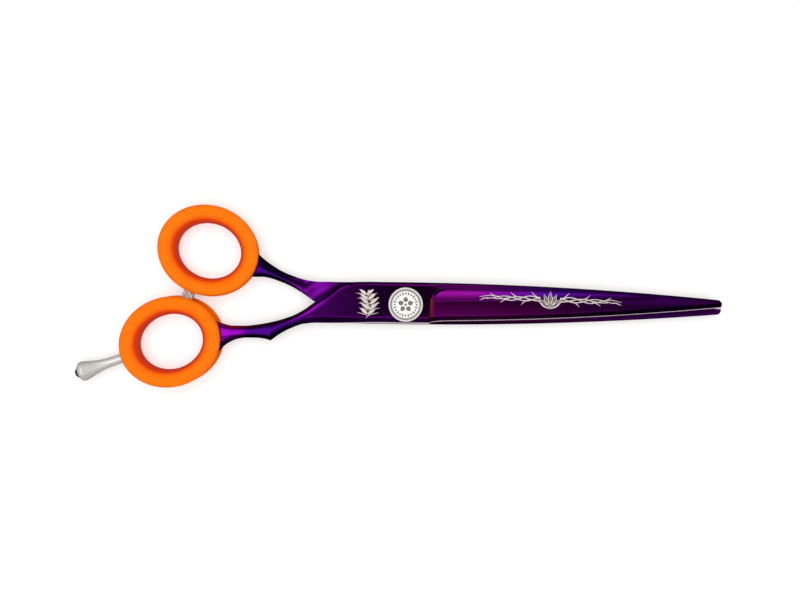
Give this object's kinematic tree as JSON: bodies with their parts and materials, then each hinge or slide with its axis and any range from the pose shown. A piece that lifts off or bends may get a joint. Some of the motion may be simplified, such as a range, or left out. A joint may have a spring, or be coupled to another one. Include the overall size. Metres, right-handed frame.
{
  "type": "grooming shears",
  "caption": "Straight-edged hairdressing and grooming shears with offset finger rings, soft ring inserts, a finger rest and a tension dial on the pivot.",
  "frame": {"origin": "pivot axis, at the flat back face of the pivot bolt's head, in the plane that the shears lie on", "axes": "+X from the finger rings towards the blade tips, +Z along the pivot axis from the bolt's head towards the tension dial, +Y towards the back half's ring"},
  "size_m": [0.2078, 0.0586, 0.0091],
  "materials": {
    "violet_steel": "mirror-polished steel with a violet coating",
    "orange_silicone": "matte silicone",
    "bright_steel": "fine satin",
    "polished_steel": "polished",
    "brass": "plain turned",
    "white_polymer": "matte",
    "dark_stone": "faceted and polished"
  },
  "bodies": {
    "still_half": {"back_half": "violet_steel", "back_ring_insert": "orange_silicone", "pivot_bolt": "violet_steel", "ride_washer": "white_polymer", "click_spring": "polished_steel"},
    "moving_half": {"front_half": "violet_steel", "front_ring_insert": "orange_silicone", "pivot_bushing": "brass", "race_lower": "polished_steel", "finger_rest": "bright_steel", "finger_rest_stud": "bright_steel", "finger_rest_gem": "dark_stone", "bumper_seat": "polished_steel", "bumper_pad": "white_polymer"},
    "dial": {"tension_dial": "bright_steel", "dial_badge": "bright_steel", "race_upper": "polished_steel"},
    "cage": {"bearing_cage": "brass", "bearing_ball_1": "polished_steel", "bearing_ball_2": "polished_steel", "bearing_ball_3": "polished_steel", "bearing_ball_4": "polished_steel", "bearing_ball_5": "polished_steel", "bearing_ball_6": "polished_steel", "bearing_ball_7": "polished_steel", "bearing_ball_8": "polished_steel"}
  },
  "joints": [
    {"name": "blade_pivot", "type": "hinge", "parent": "still_half", "child": "moving_half", "pos_m": [0, 0, 0.00425], "axis": [0, 0, 1], "range_deg": [0, 120]},
    {"name": "tension_turn", "type": "hinge", "parent": "still_half", "child": "dial", "pos_m": [0, 0, 0.0085], "axis": [0, 0, 1], "range_deg": [-90, 90]},
    {"name": "cage_turn", "type": "hinge", "parent": "still_half", "child": "cage", "pos_m": [0, 0, 0.0065], "axis": [0, 0, 1], "range_deg": [0, 60]}
  ],
  "couplings": [
    {"joint": "cage_turn", "follows": "blade_pivot", "ratio": 0.5}
  ]
}
